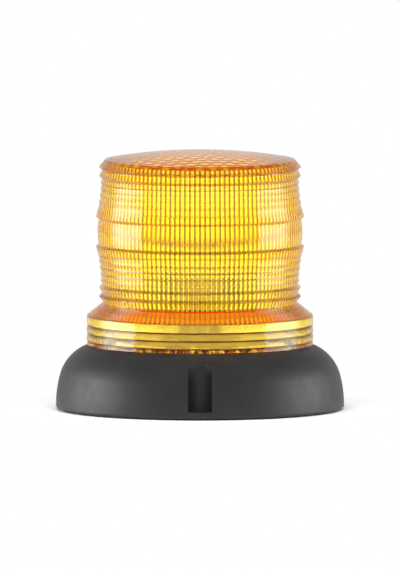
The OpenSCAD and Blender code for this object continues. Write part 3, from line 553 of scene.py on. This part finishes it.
def confined(line):
    """The same outline with each painted shade above the neck kept within the painted shade's reach of its
    corner.
    """
    out = []
    for before, here in zip(line, line[1:]):
        out.append(before)
        a, b = Vector(before[:2]), Vector(here[:2])
        length = (b - a).length
        if a[1] < NECK[1] or length < 3 * PAINTED_SHADE_REACH:
            continue
        step = (b - a) * PAINTED_SHADE_REACH / length
        between = CHAMFER_PAINTED_SHADE if a[1] > RIM_Z - PAINTED_SHADE_REACH else 0
        if before[2]:
            out.append((*(a + step), between))
        if here[2]:
            out.append((*(b - step), between))
    return [*out, line[-1]]


def bevelled(line):
    """The same outline with a small bevel at each corner that turns by more than BEVEL_TURN."""
    out = [line[0]]
    for before, here, after in zip(line, line[1:], line[2:]):
        corner, painted_shade = Vector(here[:2]), here[2]
        a, b = Vector(before[:2]) - corner, Vector(after[:2]) - corner
        if 180 - math.degrees(a.angle(b)) < BEVEL_TURN:
            out.append(here)
            continue
        reach = min(BEVEL, a.length * BEVEL_SHARE, b.length * BEVEL_SHARE)
        out += [(*(corner + side.normalized() * reach), painted_shade) for side in (a, b)]
    return [*out, line[-1]]


def pillow(x, y):
    """Height, from 0 to 1, of the round cushions inside the crown, which stand in rows at 60 degrees."""
    wave = 4 * math.pi / (math.sqrt(3) * CUSHION_PITCH)
    total = 0  # of three waves, between -1.5 and 3
    for turn in (30, 90, 150):
        angle = math.radians(CUSHION_TURN + turn)
        total += math.cos(wave * (x * math.cos(angle) + y * math.sin(angle)))
    return (total + 1.5) / 4.5


def cushion_points():
    """Free points of the crown's inner face, with painted shade in the net between the cushions."""
    edge = INNER_R - FLUTE_H - CUSHION_MARGIN
    reach = int(INNER_R / CUSHION_STEP) + 1
    out = []
    for i in range(-reach, reach):
        for j in range(-reach, reach):
            x, y = i * CUSHION_STEP + (j % 2) * CUSHION_STEP / 2, j * CUSHION_STEP
            r, height = math.hypot(x, y), pillow(x, y)
            if r < edge:
                z = crown_z(r, WALL) - CUSHION_H * height * min(1.0, (edge - r) / CUSHION_FADE)
                out.append((x, y, z, NET_PAINTED_SHADE * max(0.0, 1 - NET_FADE * height)))
    return out


def flute_row(shell, height):
    """One row of the inner wall, with a painted dark line along the cusp between each two flutes."""
    n = FLUTES * FLUTE_POINTS
    half = math.pi * INNER_R / FLUTES
    bead_r = (half * half + FLUTE_H * FLUTE_H) / (2 * FLUTE_H)
    out, painted_shade = [], []
    for i in range(n):
        a, t = 2 * math.pi * i / n, 2 * (i % FLUTE_POINTS) / FLUTE_POINTS - 1
        r = INNER_R - FLUTE_H + bead_r - math.sqrt(bead_r**2 - (t * half) ** 2)
        out.append((r * math.cos(a), r * math.sin(a), height(r)))
        painted_shade.append(CUSP_PAINTED_SHADE * max(0.0, 1 - CUSP_FADE * min(i % FLUTE_POINTS, -i % FLUTE_POINTS)))
    return shell.row(out, painted_shade, FLUTE_SATIN)


def add_posts(shell):
    """The screw posts and their holes, as their rows on the foot's upper side and on its underside."""
    feet, mouths = [], []
    for angle in POST_ANGLES:
        x, y = POST_AT * math.cos(math.radians(angle)), POST_AT * math.sin(math.radians(angle))
        foot, head = (shell.circle(POST_R, z, POST_POINTS, (x, y)) for z in (FOOT_TOP, POST_TOP))
        shell.bridge(foot, head)
        shell.fan(head, (x, y, POST_TOP))
        mouth, end = (shell.circle(POST_HOLE_R, z, HOLE_POINTS, (x, y)) for z in (FOOT_Z, POST_HOLE_TOP))
        shell.bridge(end, mouth)
        shell.fan(end, (x, y, POST_HOLE_TOP), flip=True)
        feet.append(foot)
        mouths.append(mouth)
    return feet, mouths


def build_lens():
    """The lens as one shell. Its inner rows have twice the points of the outer ones."""
    shell = Shell()
    outline = bevelled(confined(lens_outline()))
    outside = [shell.circle(r, z, OUTER_POINTS, painted_shade=painted_shade) for r, z, painted_shade in outline]
    # The crown's outer face carries a light painted shade all over.
    outside += [shell.circle(r, crown_z(r), OUTER_POINTS, painted_shade=CROWN_PAINTED_SHADE) for r in CROWN_ROWS]
    shell.stack(outside)
    last = shell.circle(CROWN_LAST_ROW, crown_z(CROWN_LAST_ROW), OUTER_POINTS // 2, painted_shade=CROWN_PAINTED_SHADE)
    shell.thin(outside[-1], last)
    shell.fan(last, (0, 0, crown_z(0)), CROWN_PAINTED_SHADE)

    n_in = FLUTES * FLUTE_POINTS
    # The inner ledge gets a painted shade.
    collar = [(LEDGE_Z, LEDGE_PAINTED_SHADE), (LEDGE_Z - PAINTED_SHADE_REACH, 0.0), (FOOT_TOP, 0.0)]
    inside = [flute_row(shell, lambda r: crown_z(r, WALL))]
    inside += [flute_row(shell, lambda r, z=z: z) for z in (*reversed(FLUTE_LEVELS), LEDGE_Z)]
    inside += [shell.circle(COLLAR_IN_R, z, n_in, painted_shade=painted_shade, inside=COLLAR_SATIN) for z, painted_shade in collar]
    shell.stack(inside)
    shell.plate(inside[0], free=cushion_points(), flip=True)

    lip, sole = shell.circle(FOOT_IN_R, FOOT_TOP, n_in), shell.circle(FOOT_IN_R, FOOT_Z, OUTER_POINTS)
    shell.thin(lip, sole)
    feet, mouths = add_posts(shell)
    shell.plate(inside[-1], [lip, *feet])
    shell.plate(outside[0], [sole, *mouths], flip=True)
    return shell.make("amber_lens_shell")


lens = build_lens()
lens.data.materials.append(MATERIALS["amber_lens"])
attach(lens, "root")
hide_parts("lens")


# Finishes of the other pieces
slots = {row["node"]: row["material_slot"] for row in frame["record"]["subparts"]}
for node, objects in frame["nodes"].items():
    for obj in objects if isinstance(objects, (list, tuple)) else [objects]:
        if obj.type == "MESH":
            obj.data.materials.clear()
            obj.data.materials.append(MATERIALS[slots[node]])


# Studio
def add_floor():
    """White paper that clears away round the object, past its shadow."""
    mesh = bpy.data.meshes.new("floor")
    turns = [2 * math.pi * i / FLOOR_POINTS for i in range(FLOOR_POINTS)]
    ring = [(FLOOR_R * math.cos(a), FLOOR_R * math.sin(a), 0) for a in turns]
    mesh.from_pydata(ring, [], [tuple(range(FLOOR_POINTS))])
    floor = bpy.data.objects.new("floor", mesh)
    bpy.context.scene.collection.objects.link(floor)
    mat, tree, shader, out = new_material("floor_paper")
    where = coordinates(tree)
    shader.inputs["Roughness"].default_value = 0.9
    shader.inputs["Specular IOR Level"].default_value = 0.1
    vary(tree, shader.inputs["Base Color"], noise(tree, where, 8), (0.93, 0.93, 0.93), (0.96, 0.96, 0.96))
    away = tree.nodes.new("ShaderNodeVectorMath")
    away.operation = "LENGTH"
    tree.links.new(where, away.inputs[0])
    clear = tree.nodes.new("ShaderNodeBsdfTransparent")
    mix = tree.nodes.new("ShaderNodeMixShader")
    tree.links.new(rise(tree, away.outputs["Value"], *FLOOR_FADE), mix.inputs["Fac"])
    tree.links.new(shader.outputs[0], mix.inputs[1])
    tree.links.new(clear.outputs[0], mix.inputs[2])
    tree.links.new(mix.outputs[0], out.inputs["Surface"])
    mesh.materials.append(mat)


def add_world():
    """White all round and darker high up. Rays that come through the lens meet less of it in front."""
    world = bpy.data.worlds.new("studio")
    world.use_nodes = True
    bpy.context.scene.world = world
    tree = world.node_tree
    back = tree.nodes["Background"]
    back.inputs["Color"].default_value = (1, 1, 1, 1)
    sky = axes(tree, tree.nodes.new("ShaderNodeTexCoord").outputs["Generated"])
    path = tree.nodes.new("ShaderNodeLightPath").outputs
    level = maths(tree, "MULTIPLY", path["Is Glossy Ray"], GLOSS_LEVEL)
    level = maths(tree, "ADD", path["Is Camera Ray"], level, clamp=True)
    level = maths(tree, "ADD", level, path["Is Transmission Ray"], clamp=True)
    level = maths(tree, "MAXIMUM", level, DIFFUSE_LEVEL)
    front = rise(tree, sky["Y"], *FRONT_FADE, FRONT_LEVEL)
    front = maths(tree, "MAXIMUM", front, path["Diffuse Depth"], clamp=True)
    mix = tree.nodes.new("ShaderNodeMix")
    tree.links.new(path["Is Transmission Ray"], mix.inputs["Factor"])
    tree.links.new(stops(tree, sky["Z"], TOP_FADE), mix.inputs["A"])
    tree.links.new(front, mix.inputs["B"])
    tree.links.new(maths(tree, "MULTIPLY", level, mix.outputs["Result"]), back.inputs["Strength"])


def add_lamp(name, place, aim, size, strength, fades, hidden):
    """A rectangular lamp whose light fades towards some of its sides."""
    data = bpy.data.lights.new(name, "AREA")
    data.shape = "RECTANGLE"
    data.size, data.size_y = size
    data.energy = math.pi * size[0] * size[1]  # so that strength is the brightness of its face
    data.use_nodes = True
    tree = data.node_tree
    emission = tree.nodes["Emission"].inputs["Strength"]
    emission.default_value = strength
    if fades:
        face = axes(tree, tree.nodes.new("ShaderNodeNewGeometry").outputs["Parametric"])
        level = strength
        for axis, start, end in fades:
            level = maths(tree, "MULTIPLY", level, rise(tree, face[axis], start, end, smooth=True))
        tree.links.new(level, emission)
    lamp = bpy.data.objects.new(name, data)
    lamp.location = place
    lamp.rotation_euler = (Vector(aim) - Vector(place)).to_track_quat("-Z", "Y").to_euler()
    lamp.visible_camera = False
    setattr(lamp, hidden, False)
    bpy.context.scene.collection.objects.link(lamp)


def add_camera():
    tilt = math.radians(CAMERA_TILT)
    data = bpy.data.cameras.new("camera")
    data.type = "ORTHO"
    data.ortho_scale = CAMERA_SPAN
    data.clip_end = 20
    camera = bpy.data.objects.new("camera", data)
    camera.location = CAMERA_AIM + Vector((0, -math.cos(tilt), math.sin(tilt))) * CAMERA_AWAY
    camera.rotation_euler = (CAMERA_AIM - camera.location).to_track_quat("-Z", "Y").to_euler()
    bpy.context.scene.collection.objects.link(camera)
    bpy.context.scene.camera = camera


add_floor()
add_world()
for name, row in LAMPS.items():
    add_lamp(name, *row)
add_camera()
bpy.context.scene.view_settings.view_transform = "Standard"
bpy.context.scene.cycles.max_bounces = BOUNCES
bpy.context.scene.cycles.transmission_bounces = BOUNCES
bpy.context.scene.cycles.glossy_bounces = BOUNCES
